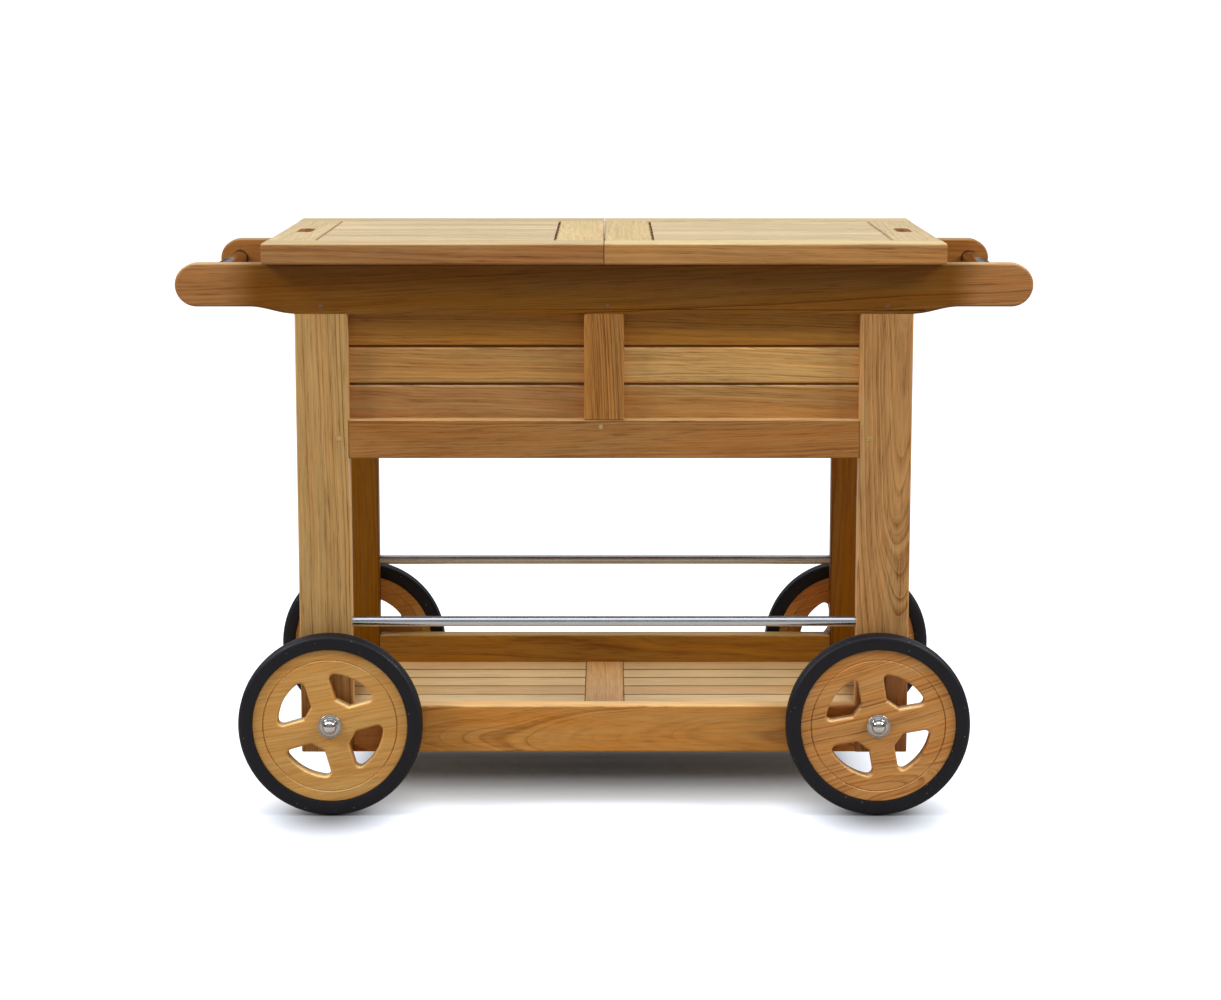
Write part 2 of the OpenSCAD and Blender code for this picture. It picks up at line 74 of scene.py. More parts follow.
# %% [markdown]
# ## The view
#
# The camera stands square in front of the cart, higher than it, and looks a little down. Its
# place, tilt and lens were worked out from the edges of boards, rods and wheels in the picture. A
# small shift of the lens puts the cart at its height in the picture with the posts nearly
# upright. A level camera with a large shift would keep them quite upright, but it would put the
# cart far off the middle in every other view.

# %% Camera
image_w = 1221
image_h = 1000
camera_x = 0.010
camera_height = 1.2178
camera_distance = 4.1584
camera_tilt = 8.55
focal_px = 2700.7
lens_middle_px = 440
sensor_w = 36

front_face_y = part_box("front_left_post")[0].y
bpy.ops.object.camera_add(location=(camera_x, front_face_y - camera_distance, camera_height),
                          rotation=(math.radians(90 - camera_tilt), 0, 0))
camera = bpy.context.object
camera.name = "front_camera"
camera.data.sensor_width = sensor_w
camera.data.lens = focal_px / image_w * sensor_w
camera.data.shift_y = (lens_middle_px - image_h / 2) / image_w
scene.camera = camera
print("lens in mm", round(camera.data.lens, 2), "shift", round(camera.data.shift_y, 3))

# %% [markdown]
# ## Small tools
#
# Colours are written as the hex values of a colour picker. A render calculates with linear light,
# so one function turns one into the other. Materials are networks of nodes. They could be drawn
# by hand in the shader editor, but they are easier to repeat when written down, so one function
# adds a node with its settings and links.

# %% Helpers for colours and nodes
soft = {"interpolation_type": "SMOOTHSTEP"}
noise_range = {"From Min": 0.3, "From Max": 0.7}


def linear(hex_colour, dim=(1, 1, 1)):
    """The linear colour of an sRGB hex value such as #A07040, each channel times dim."""
    channels = [int(hex_colour[i:i + 2], 16) / 255 for i in (1, 3, 5)]
    light = [c / 12.92 if c <= 0.04045 else ((c + 0.055) / 1.055) ** 2.4 for c in channels]
    return [c * d for c, d in zip(light, dim)] + [1]


def wire(node, inputs):
    """Sets a node's inputs. A socket is linked, a node is linked by its first output, and any
    other value is set."""
    for key, value in inputs.items():
        if isinstance(value, bpy.types.Node):
            value = value.outputs[0]
        if isinstance(value, bpy.types.NodeSocket):
            node.id_data.links.new(value, node.inputs[key])
        else:
            node.inputs[key].default_value = value


def add(tree, kind, inputs=None, stops=None, **settings):
    """Adds a shader node with its settings and inputs. stops are the places and colours of a
    colour ramp."""
    node = tree.nodes.new("ShaderNode" + kind)
    for name, value in settings.items():
        setattr(node, name, value)
    wire(node, inputs or {})
    for i, (place, colour) in enumerate(stops or []):
        element = node.color_ramp.elements[i] if i < 2 else node.color_ramp.elements.new(place)
        element.position = place
        element.color = colour if isinstance(colour, list) else [colour, colour, colour, 1]
    return node


def new_material(name):
    """A material with nodes. Returns it, its node tree and its shader."""
    material = bpy.data.materials.new(name)
    material.use_nodes = True
    return material, material.node_tree, material.node_tree.nodes["Principled BSDF"]


print("middle grey in linear light", linear("#808080")[:3])

# %% [markdown]
# ## Teak
#
# Teak is a ring-porous wood. Each year leaves a narrow dark line of large pores and then paler,
# denser wood, so a board shows the growth rings of its trunk wherever it cuts through them.
# A picture of wood could be stretched over the boards, but then the end grain and the
# neighbouring faces wouldn't agree. Here the grain is calculated in the space of the board, and
# each face shows its own cut through it. All lengths are in millimetres.
#
# Boards that lie side by side are one piece of the frame. Their space is therefore cut into
# cells, one for each board, and every cell has its own random numbers, so that no two boards look
# the same.

# %% The space of each board
along_of = {"X": 0, "Y": 1, "Z": 2}
shuffle_span = 60


def board_space(tree, piece, axes, count, gap, seed):
    """Places on a board, counted from its own middle. grain has x along the grain, y across the
    wide face and z through the board."""
    low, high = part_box(piece)
    pitch = [((high[i] - low[i]) / mm + gap) / count[i] for i in range(3)]
    origin = [low[i] / mm - gap / 2 for i in range(3)]
    coords = add(tree, "TexCoord")
    place = add(tree, "VectorMath", {0: coords.outputs["Object"], "Scale": 1 / mm},
                operation="SCALE")
    inside = add(tree, "VectorMath", {0: place, 1: origin}, operation="SUBTRACT")
    steps = add(tree, "VectorMath", {0: inside, 1: pitch}, operation="DIVIDE")
    cell = add(tree, "VectorMath", {0: steps}, operation="FLOOR")
    middle = add(tree, "VectorMath", {0: cell, 1: pitch, 2: [p / 2 for p in pitch]},
                 operation="MULTIPLY_ADD")
    local = add(tree, "VectorMath", {0: inside, 1: middle}, operation="SUBTRACT")
    seeded = add(tree, "VectorMath", {0: cell, 1: [seed, 0.37 * seed, 7.0]}, operation="ADD")
    chance = add(tree, "TexWhiteNoise", {"Vector": seeded})
    dice = add(tree, "SeparateColor", {"Color": chance.outputs["Color"]})
    shuffle = add(tree, "Math", {0: dice, 1: shuffle_span, 2: seed}, operation="MULTIPLY_ADD")
    parts = add(tree, "SeparateXYZ", {0: local})
    grain = add(tree, "CombineXYZ", {i: parts.outputs[along_of[a]] for i, a in enumerate(axes)})
    length = add(tree, "SeparateXYZ", {0: grain}).outputs[0]
    return SimpleNamespace(coords=coords, cell=cell, local=local, grain=grain, length=length,
                           chance=chance.outputs["Color"], luck=dice.outputs[2],
                           shuffle=shuffle, pitch=pitch, count=count, gap=gap)


print("directions of the grain", along_of)

# %% [markdown]
# ### Patterns along the grain
#
# Wood's fibres are a few hundredths of a millimetre wide. They are drawn 4 mm apart, as fine as
# the picture can show, and the pores as dark dashes some 50 mm long. All are soft noise that is
# stretched along the grain. No trunk is quite straight, so the grain first gets slow bends, and a
# slope, because few boards are sawn along the pith.

# %% Noise that follows the grain
# Waves per mm along and across the grain, detail, roughness, and whether each board has its own
patterns = {
    "bends": (0.0035, 0.010, 2.5, 0.45, True),
    "fibres": (0.010, 0.24, 5.0, 0.72, False),
    "pores": (0.018, 0.42, 2.0, 0.6, False),
    "clouds": (0.0045, 0.035, 4.0, 0.55, True),
    "warmth": (0.003, 0.05, 2.0, 0.5, True),
}


def grown(tree, board, grain, name):
    """One of the patterns, drawn along the given grain."""
    along, across, detail, roughness, shuffled = patterns[name]
    at = add(tree, "VectorMath", {0: grain, 1: [along, across, across]}, operation="MULTIPLY")
    look = {"Vector": at, "Scale": 1.0, "Detail": detail, "Roughness": roughness}
    if not shuffled:
        return add(tree, "TexNoise", look)
    return add(tree, "TexNoise", {**look, "W": board.shuffle}, noise_dimensions="4D")


def bent_grain(tree, board, slant, bend):
    """The board's grain, bent by up to bend millimetres and sloped by slant."""
    bends = grown(tree, board, board.grain, "bends")
    swung = add(tree, "VectorMath", operation="MULTIPLY_ADD", inputs={
        0: bends.outputs["Color"], 1: [0, 2 * bend, 2 * bend], 2: [0, -bend, -bend]})
    along = add(tree, "CombineXYZ", {1: board.length, 2: board.length})
    sloped = add(tree, "VectorMath", {0: along, 1: [0, *slant], 2: swung},
                 operation="MULTIPLY_ADD")
    return add(tree, "VectorMath", {0: board.grain, 1: sloped}, operation="ADD")


for name, (along, across, *rest) in patterns.items():
    print(name, "mm along and across", round(1 / along), round(1 / across, 1))

# %% [markdown]
# ### Growth rings
#
# The pith, the middle of the trunk, lies outside the board, and how far a point is from it tells
# the point's year. A face cut far from the pith shows straight lines, and a face cut across the
# rings' crowns shows long arches. Even rings would look printed, so the years differ in width and
# in darkness.

# %% Rings round the pith
pith_spread = (30, 20)
ring_drift = 0.06
ring_uneven = 3.0
band_waves = 0.07
pore_ring = [(0.0, 1.0), (0.14, 0.8), (0.34, 0.3), (0.60, 0.06), (0.92, 0.0), (1.0, 1.0)]


def growth_rings(tree, board, grain, pith, ring):
    """The dark line of each year, and the slower change between paler and darker years."""
    least = [pith[i] - pith_spread[i] / 2 for i in (0, 1)]
    pith_at = add(tree, "VectorMath", {0: board.chance, 1: [0, *pith_spread], 2: [0, *least]},
                  operation="MULTIPLY_ADD")
    from_pith = add(tree, "VectorMath", {0: grain, 1: pith_at}, operation="SUBTRACT")
    flat = add(tree, "VectorMath", {0: from_pith, 1: [0, 1, 1]}, operation="MULTIPLY")
    radius = add(tree, "VectorMath", {0: flat}, operation="LENGTH").outputs["Value"]

    drift_at = add(tree, "Math", {0: radius, 1: ring_drift}, operation="MULTIPLY")
    drift = add(tree, "TexNoise", {"W": drift_at, "Detail": 1.0}, noise_dimensions="1D")
    uneven = add(tree, "Math", {0: drift, 1: ring_uneven}, operation="MULTIPLY")
    years = add(tree, "Math", {0: radius, 1: 1 / ring, 2: uneven}, operation="MULTIPLY_ADD")
    year = add(tree, "Math", {0: years}, operation="FLOOR")
    season = add(tree, "Math", {0: years}, operation="FRACT")
    pores = add(tree, "ValToRGB", {"Fac": season}, stops=pore_ring)
    strength = add(tree, "TexWhiteNoise", {"W": year}, noise_dimensions="1D")
    line = add(tree, "Math", {0: pores, 1: strength}, operation="MULTIPLY")

    bands_at = add(tree, "Math", {0: radius, 1: band_waves, 2: board.shuffle},
                   operation="MULTIPLY_ADD")
    bands = add(tree, "TexNoise", {"W": bands_at, "Detail": 4.0, "Roughness": 0.62},
                noise_dimensions="1D")
    return line, bands


print("the dark line fades over", pore_ring[3][0], "of a year")

# %% [markdown]
# ### Seams
#
# Little light gets down into the narrow seams between boards, so they are darkened as painted
# shade. The gaps are real, but narrow, so what lies past a board's own face, towards its
# neighbour, is painted dark too. A gap that is given too wide adds a thin painted dark line along
# the board's edge.

# %% Painted shade in the gaps
seam_start = 0.3
no_neighbour = 1000.0


def painted_seam_shade(tree, board):
    """1 on the sides that face a neighbouring board, where the painted shade goes, and 0 elsewhere.
    """
    edge = [(p - board.gap) / 2 + seam_start if n > 1 else no_neighbour
            for p, n in zip(board.pitch, board.count)]
    reach = add(tree, "VectorMath", {0: board.local}, operation="ABSOLUTE")
    past = add(tree, "VectorMath", {0: reach, 1: edge}, operation="SUBTRACT")
    sides = add(tree, "SeparateXYZ", {0: past})
    wider = add(tree, "Math", {0: sides, 1: sides.outputs[1]}, operation="MAXIMUM")
    furthest = add(tree, "Math", {0: wider, 1: sides.outputs[2]}, operation="MAXIMUM")
    return add(tree, "Math", {0: furthest, 1: 0.0}, operation="GREATER_THAN")


print("the seam starts past the face by mm", seam_start)

# %% [markdown]
# ### Colour
#
# Teak varies from straw yellow to brown within one tree, so each board has its own colour, and
# the grain makes it paler or darker. Dark grain isn't grey: its blue goes first and its red last,
# as in the ramp of tones. A ramp can only darken, so its tone for plain wood is 1 / bright, and
# the whole is made brighter by bright afterwards. Pale fibres can then be lighter than the
# board's own colour.

# %% Colours of the boards
bright = 1.45
plain_tone = 0.42
tone_stops = [(0.0, [0.93, 0.96, 1.0, 1]), (plain_tone, 1 / bright),
              (0.72, [0.47, 0.40, 0.34, 1]), (1.0, [0.26, 0.18, 0.13, 1])]


def board_colour(tree, board, grain, colours, darkness):
    """Each board's own colour, paler or darker by the grain, leaning to yellow or to red."""
    tones = add(tree, "ValToRGB", {"Fac": darkness}, stops=tone_stops)
    most = max(board.count)
    step = add(tree, "SeparateXYZ", {0: board.cell}).outputs[board.count.index(most)]
    order = add(tree, "Math", {0: step, 1: 1 / most, 2: 0.5 / most}, operation="MULTIPLY_ADD")
    own = add(tree, "ValToRGB", {"Fac": order},
              stops=[(i / len(colours), linear(c)) for i, c in enumerate(colours)])
    own.color_ramp.interpolation = "CONSTANT"
    if len(colours) == 1:
        own.color_ramp.elements.remove(own.color_ramp.elements[1])
    brown = add(tree, "Mix", {"Factor": 1.0, 6: own, 7: tones}, data_type="RGBA",
                blend_type="MULTIPLY")
    lean = {"Value": grown(tree, board, grain, "warmth"), **noise_range}
    hue = add(tree, "MapRange", {**lean, "To Min": 0.495, "To Max": 0.505})
    depth = add(tree, "MapRange", {**lean, "To Min": 1.04, "To Max": 0.97})
    light = add(tree, "MapRange", {"Value": board.luck, "To Min": 0.95 * bright,
                                   "To Max": 1.05 * bright})
    return add(tree, "HueSaturation", {"Hue": hue, "Saturation": depth, "Value": light,
                                       "Color": brown.outputs[2]})


print("tone of plain wood", round(1 / bright, 2))

# %% [markdown]
# ### Painted light, painted shade and end grain
#
# Faces that look up are painted paler and more straw-coloured, as painted light from above. The
# part of a board that the lids cover is painted darker, as the lids' painted shade, so the rail
# below them is paler at its ends. End grain drinks more oil and looks darker. All three could be
# painted by hand, but a face's direction and a place along the board are enough to find them.

# %% Painted light, painted shade and end grain
lid_shade_edge = 30
lid_shade_look = {"Saturation": 1.12, "Value": 0.5}
top_lit_look = {"Hue": 0.54, "Saturation": 0.72, "Value": 1.45}
end_grain_value = 0.72


def painted_light_shade_and_end_grain(tree, board, colour, axes, top_light_paint, lid_shade_reach):
    """The colour with painted light and shade, and with darker end grain. Faces that look up are
    painted paler and straw-coloured as light from above, up to the given amount, and the lids'
    painted shade darkens the board up to the given distance from its middle."""
    facing = add(tree, "SeparateXYZ", {0: board.coords.outputs["Normal"]})
    # Painted shade: the part of the board that the lids cover is painted darker, as the lids'
    # shadow
    if lid_shade_reach:
        from_middle = add(tree, "Math", {0: board.length}, operation="ABSOLUTE")
        shaded = add(tree, "MapRange", {
            "Value": from_middle, "From Min": lid_shade_reach - lid_shade_edge,
            "From Max": lid_shade_reach + lid_shade_edge, "To Min": 1.0, "To Max": 0.0}, **soft)
        lid_shaded_colour = add(tree, "HueSaturation", {**lid_shade_look, "Color": colour})
        colour = add(tree, "Mix", {"Factor": shaded, 6: colour, 7: lid_shaded_colour},
                     data_type="RGBA").outputs[2]
    # Painted light: faces that look up are painted paler and more straw-coloured, as light from
    # above
    if top_light_paint:
        upward = add(tree, "MapRange", {"Value": facing.outputs["Z"], "From Min": 0.4,
                                        "From Max": 0.9, "To Max": top_light_paint})
        straw = add(tree, "HueSaturation", {**top_lit_look, "Color": colour})
        colour = add(tree, "Mix", {"Factor": upward, 6: colour, 7: straw},
                     data_type="RGBA").outputs[2]
    end = add(tree, "Math", {0: facing.outputs[along_of[axes[0]]]}, operation="ABSOLUTE")
    end_grain = add(tree, "MapRange", {"Value": end, "From Min": 0.6, "From Max": 0.85})
    oiled = add(tree, "HueSaturation", {"Value": end_grain_value, "Color": colour})
    return add(tree, "Mix", {"Factor": end_grain, 6: colour, 7: oiled},
               data_type="RGBA").outputs[2]


# How much brighter the painted light from above makes faces that look up
print("bleached faces are brighter by", top_lit_look["Value"])

# %% [markdown]
# ### The finished wood
#
# The patterns are added up with weights to one number, how dark a point is. What a pattern adds
# in the mean is taken off again, so that a board keeps its colour however strong its lines and
# streaks are. Sanded teak has a dull sheen, a little uneven from fibre to fibre. The fibres stand
# up by a fraction of a millimetre, and the pores are small hollows.

# %% Teak material
line_weight = 0.50
band_weight = 0.55
fibre_weight = 1.00
cloud_weight = 0.50
pore_weight = 0.16
seam_shade_weight = 0.7
line_mean = 0.11
streak_mean = 0.525
fibre_excess = 0.12
pore_depth = -0.5
relief_depth = 0.25


# The last two arguments paint light from above on faces that look up, and the lids' shade on a rail
def teak(name, piece, axes, colours, seed, count=(1, 1, 1), gap=4, pith=(90, 50), ring=5,
         slant=(0.0, 0.02), lines=0.5, streaks=1.0, bend=6, top_light_paint=0.0, lid_shade_reach=0.0):
    """Sanded teak for all boards of a node. axes are the directions along the grain, across the
    wide face and through the board. count is how many boards lie side by side in each, and
    colours are theirs from the lowest up. ring is the width of a year, and lines and streaks are
    how strongly the years and the slower bands show."""
    material, tree, shader = new_material(name)
    board = board_space(tree, piece, axes, count, gap, seed)
    grain = bent_grain(tree, board, slant, bend)
    line, bands = growth_rings(tree, board, grain, pith, ring)
    fibres, pores, clouds = [grown(tree, board, grain, kind)
                             for kind in ("fibres", "pores", "clouds")]
    dashes = add(tree, "MapRange", {"Value": pores, "From Min": 0.55, "From Max": 0.68})

    means = fibre_excess + streak_mean * streaks + line_mean * lines
    darkness = add(tree, "Math", {0: line, 1: line_weight * lines, 2: -means},
                   operation="MULTIPLY_ADD")
    # The seams' painted shade is added to the darkness with the patterns
    for pattern, weight in ((bands, band_weight * streaks), (fibres, fibre_weight),
                            (clouds, cloud_weight * streaks), (dashes, pore_weight * streaks),
                            (painted_seam_shade(tree, board), seam_shade_weight)):
        darkness = add(tree, "Math", {0: pattern, 1: weight, 2: darkness},
                       operation="MULTIPLY_ADD")
    colour = board_colour(tree, board, grain, colours, darkness)
    sheen = add(tree, "MapRange", {"Value": fibres, **noise_range, "To Min": 0.33,
                                   "To Max": 0.47})
    hollows = add(tree, "Math", {0: dashes, 1: pore_depth}, operation="MULTIPLY")
    relief = add(tree, "Math", {0: fibres, 1: 0.6, 2: hollows}, operation="MULTIPLY_ADD")
    bump = add(tree, "Bump", {"Height": relief, "Strength": 0.5, "Distance": relief_depth * mm})
    wire(shader, {"Base Color": painted_light_shade_and_end_grain(tree, board, colour.outputs[0], axes, top_light_paint, lid_shade_reach),
                  "Specular IOR Level": 0.2, "Roughness": sheen, "Normal": bump})
    return material


print("weights of lines and bands", line_weight, band_weight)

# %% [markdown]
# ## The boards
#
# The frame's boards have flat chamfers along their long edges. Real arrises are sanded a little
# round and catch a thin line of light. The boards' corners could be moved by hand, but modifiers
# keep the frame as it is: loose triangles are merged, flat faces are joined, and every sharp edge
# is then rounded by less than a millimetre.

# %% Round the boards' arrises
rounding = 0.8 * mm
merge_distance = 0.02 * mm
flat_angle = math.radians(0.6)
edge_angle = math.radians(25)


def dress(name, material):
    """Gives a board of the frame its material and its rounded arrises."""
    board = nodes[name]
    for slot in board.material_slots:
        slot.material = material
    merge = board.modifiers.new("merge", "WELD")
    merge.merge_threshold = merge_distance
    planes = board.modifiers.new("planes", "DECIMATE")
    planes.decimate_type = "DISSOLVE"
    planes.angle_limit = flat_angle
    arris = board.modifiers.new("arris", "BEVEL")
    arris.width = rounding
    arris.segments = 2
    arris.limit_method = "ANGLE"
    arris.angle_limit = edge_angle


print("arrises rounded by mm", rounding / mm)

# %% [markdown]
# Each board's colour and grain follow the one in the picture, and the boards that can't be seen
# there get the colours of their neighbours. A table is shorter than a list of calls, and it shows
# how the boards differ. The front apron was cut near the crowns of the rings, so it shows arches
# where the others show lines.

# %% The table of boards
# Many boards below get painted light from above on their faces that look up
slat_grain = dict(pith=(-60, 45), ring=7, slant=(0.05, 0.03), lines=1.1, streaks=1.3, top_light_paint=0.4)
left_brown = "#A6703F"
right_brown = "#A97442"
inner_brown = "#A4763F"
apron_brown = "#BA7C3E"
left_slats = "#B07C42 #BE8A50 #A87038"
right_slats = "#B88450 #B07840 #B8864C"

# Node, directions, colours from the lowest board up, and what differs from a plain board
boards = [
    # The middle of this rail gets the lids' painted shade, out to 560 mm from its middle
    ("front_handle_rail", "XZY", "#B27B47",
     dict(pith=(-110, 50), slant=(-0.04, 0.02), ring=7, lines=1.1, streaks=1.3, top_light_paint=0.6,
          lid_shade_reach=560)),
    ("rear_handle_rail", "XZY", "#9C642D", dict(pith=(80, 60), top_light_paint=0.6)),
    ("front_left_post", "ZXY", "#C79C61",
     dict(pith=(110, 40), slant=(0.01, 0.02), streaks=1.4, ring=8, lines=0.9)),
    ("front_right_post", "ZXY", "#C39058",
     dict(pith=(30, 70), slant=(-0.01, 0.03), ring=7, lines=1.0, streaks=1.9)),
    ("rear_left_post", "ZXY", "#89580F", dict(streaks=1.1, lines=0.6)),
    ("rear_right_post", "ZXY", "#86520D", dict(pith=(-80, 50), streaks=1.1, lines=0.6)),
    ("front_box_rail", "XZY", "#AE773F",
     dict(top_light_paint=0.6, pith=(90, 60), ring=6, slant=(-0.05, 0.03), lines=0.5, streaks=1.5)),
    ("rear_box_rail", "XZY", left_brown, dict(top_light_paint=0.6, pith=(-80, 60))),
    ("front_stile", "ZXY", "#B47C3F",
     dict(pith=(90, 30), ring=8, slant=(0.05, 0.0), lines=1.6, streaks=1.8, bend=10)),
    ("rear_stile", "ZXY", "#A97238", dict(ring=6)),
    ("front_left_slats", "XZY", "#B5824E #BF8E52 #BA7D35", slat_grain),
    ("front_right_slats", "XZY", "#C08C50 #DEAB67 #B87D34", slat_grain),
    ("rear_left_slats", "XZY", left_slats, dict(pith=(0, 90))),
    ("rear_right_slats", "XZY", right_slats, dict(pith=(0, 90))),
    ("left_end_top_rail", "YZX", left_brown, {}),
    ("right_end_top_rail", "YZX", right_brown, dict(pith=(-90, 50))),
    ("left_end_bottom_rail", "YZX", left_brown, {}),
    ("right_end_bottom_rail", "YZX", right_brown, dict(pith=(-80, 60))),
    ("left_end_slats", "YZX", left_slats, dict(pith=(0, 80), ring=6)),
    ("right_end_slats", "YZX", right_slats, dict(pith=(0, 80), ring=6)),
    ("box_divider", "YZX", right_brown, {}),
    ("box_floor_planks", "YXZ", "#B48450", dict(count=(12, 1, 1))),
    ("front_apron", "XZY", "#D18F45",
     dict(top_light_paint=0.5, pith=(-18, 60), ring=8, slant=(0.0, 0.055), lines=0.9, streaks=0.7)),
    ("rear_apron", "XZY", "#A16F27", dict(top_light_paint=0.5, pith=(30, 60), ring=6, streaks=1.4)),
    ("left_apron", "YZX", apron_brown, {}),
    ("right_apron", "YZX", apron_brown, dict(pith=(-80, 50))),
    ("shelf_centre_board", "YXZ", "#DBAD72", {}),
    ("shelf_planks", "XYZ", "#DDB781 #E5C58C #DFB983 #E8CB97 #DBB37A #E3C38C #E6C793 #DDB983",
     dict(count=(2, 8, 1), gap=6)),
    ("support_cleats", "XYZ", inner_brown, {}),
    ("joint_pegs", "YXZ", "#E8C384 #936A42", dict(count=(10, 1, 12), ring=3)),
]
for end_name, pith_side, front_edge in (("left", 1, "#AC7847"), ("right", -1, "#BF8950")):
    boards += [
        (end_name + "_lid_rails", "XYZ", front_edge + " #A97848",
         dict(count=(1, 2, 1), pith=(-60, 60), lines=0.8, streaks=1.6, top_light_paint=1.0)),
        (end_name + "_lid_inner_board", "YXZ", "#B37939",
         dict(pith=(60 * pith_side, 60), top_light_paint=1.0)),
        (end_name + "_lid_outer_board", "YXZ", "#AF7B4F", dict(pith=(-60, 60), top_light_paint=1.0)),
        (end_name + "_lid_planks", "XYZ", "#AE7F59 #AA7B55 #B1825B #AB7D57 #B2835E #A97A53 #AE7F5A",
         dict(count=(1, 7, 1), gap=3, pith=(20, 90), top_light_paint=1.0)),
        (end_name + "_lid_battens", "XYZ", inner_brown, {}),
    ]
print("boards in the table", len(boards))

# %% Dress the boards
first_seed = 3

for seed, (name, axes, colours, own) in enumerate(boards, first_seed):
    colours = colours.split()
    own = {"count": (1, 1, len(colours)), **own}
    dress(name, teak("teak_" + name, name, axes, colours, seed, **own))
print("boards dressed", len(boards))

# %% [markdown]
# ## Metal
#
# The guard rods are drawn stainless steel tube with a satin brush along their length, which
# gives them one soft, broad highlight. The handlebars and cap nuts are polished, so they mirror
# the wood and the pale room. Washers are pressed, and bushes are turned from brass.
# A metal's look is its reflection: the grey is nearly the same, and the roughness and the brush
# lines tell satin from polish, so one function makes all four. Real brush lines are finer than
# the picture can show, so they are drawn coarser.

# %% Metal material
smear_waves = 0.03
scratch_weight = 0.6
smear_weight = 0.4


def steel(name, colour, roughness, brushed, relief=0.02):
    """Metal. brushed is how many fine lines lie in a millimetre in each direction, and relief is
    their depth in millimetres."""
    material, tree, shader = new_material(name)
    place = add(tree, "TexCoord").outputs["Object"]
    lines_at = add(tree, "VectorMath", {0: place, 1: [b / mm for b in brushed]},
                   operation="MULTIPLY")
    scratches = add(tree, "TexNoise", {"Vector": lines_at, "Scale": 1.0, "Detail": 3.0})
    smears = add(tree, "TexNoise", {"Vector": place, "Scale": smear_waves / mm, "Detail": 2.0})
    smeared = add(tree, "Math", {0: smears, 1: smear_weight}, operation="MULTIPLY")
    both = add(tree, "Math", {0: scratches, 1: scratch_weight, 2: smeared},
               operation="MULTIPLY_ADD")
    rough = add(tree, "MapRange", {"Value": both, **noise_range,
                                   "To Min": roughness * 0.7, "To Max": roughness * 1.3})
    tint = add(tree, "ValToRGB", {"Fac": both},
               stops=[(0.3, linear(colour, (0.86, 0.86, 0.87))), (0.7, linear(colour))])
    bump = add(tree, "Bump", {"Height": scratches, "Strength": 0.3, "Distance": relief * mm})
    wire(shader, {"Base Color": tint, "Roughness": rough, "Normal": bump, "Metallic": 1.0})
    return material


satin_steel = steel("stainless_steel_satin", "#C3CAD4", 0.26, (0.02, 0.6, 0.6), 0.01)
polished_steel = steel("stainless_steel_polished", "#CDCFD2", 0.09, (0.3, 0.3, 0.3), 0.005)
washer_steel = steel("stainless_steel_pressed", "#B4B6B9", 0.24, (0.8, 0.8, 0.8))
brass = steel("brass_turned", "#B99A5B", 0.28, (1.0, 0.1, 1.0))
print("smears of the metals in mm", round(1 / smear_waves))

# %% Dress the frame's metal pieces
corners = ("front_left", "front_right", "rear_left", "rear_right")
metal_of = {"front_guard_rod": satin_steel, "rear_guard_rod": satin_steel,
            "left_handlebar": polished_steel, "right_handlebar": polished_steel,
            "axle_bolts": washer_steel, **{corner + "_bush": brass for corner in corners}}

for name, material in metal_of.items():
    for slot in nodes[name].material_slots:
        slot.material = material
print("metal pieces dressed", len(metal_of))

# %% [markdown]
# ## Turned pieces
#
# Tyres, discs, washers and nuts are all round about their axle. A ring of edges is drawn at the
# first radius, and is then extruded and scaled, step by step, along the piece's outline. A screw
# modifier on a drawn profile would do the same, but here each step is two plain numbers, a radius
# and a place along the axle. Each piece is there four times, so it is modelled once, on an axle
# through the origin, and copied to its wheel.

# %% Helpers for selecting and finishing
def select_only(piece=None):
    """Deselects everything, because operators act on all that is selected, and selects piece."""
    bpy.ops.object.select_all(action="DESELECT")
    if piece:
        piece.select_set(True)
        bpy.context.view_layer.objects.active = piece


def settle(piece, smooth_deg=30):
    """Puts the piece's place into its mesh, turns its faces outwards and smooths it."""
    select_only(piece)
    bpy.ops.object.transform_apply(location=True, rotation=True, scale=True)
    bpy.ops.object.mode_set(mode="EDIT")
    bpy.ops.mesh.select_all(action="SELECT")
    bpy.ops.mesh.remove_doubles(threshold=0.001 * mm)
    bpy.ops.mesh.normals_make_consistent(inside=False)
    bpy.ops.object.mode_set(mode="OBJECT")
    bpy.ops.object.shade_smooth_by_angle(angle=math.radians(smooth_deg))


def level_faces(piece):
    """Shades large faces flat right up to their rounded edges."""
    level = piece.modifiers.new("level", "WEIGHTED_NORMAL")
    level.keep_sharp = True
    bpy.ops.object.modifier_apply(modifier=level.name)


def copied(original, name, place=(0, 0, 0), turn=(0, 0, 0)):
    """A copy with its own mesh, turned about the origin and moved to its place."""
    select_only(original)
    bpy.ops.object.duplicate()
    piece = bpy.context.object
    piece.name = name
    piece.rotation_euler = turn
    piece.location = place
    bpy.ops.object.transform_apply(location=True, rotation=True, scale=True)
    return piece


def place_piece(piece, material, body, slot, *replaced):
    """Finishes a new piece: its material, the body it rides on and the nodes it stands for."""
    piece.data.materials.clear()
    piece.data.materials.append(material)
    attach(piece, body)
    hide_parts(*replaced)
    print(piece.name, "faces", len(piece.data.polygons))

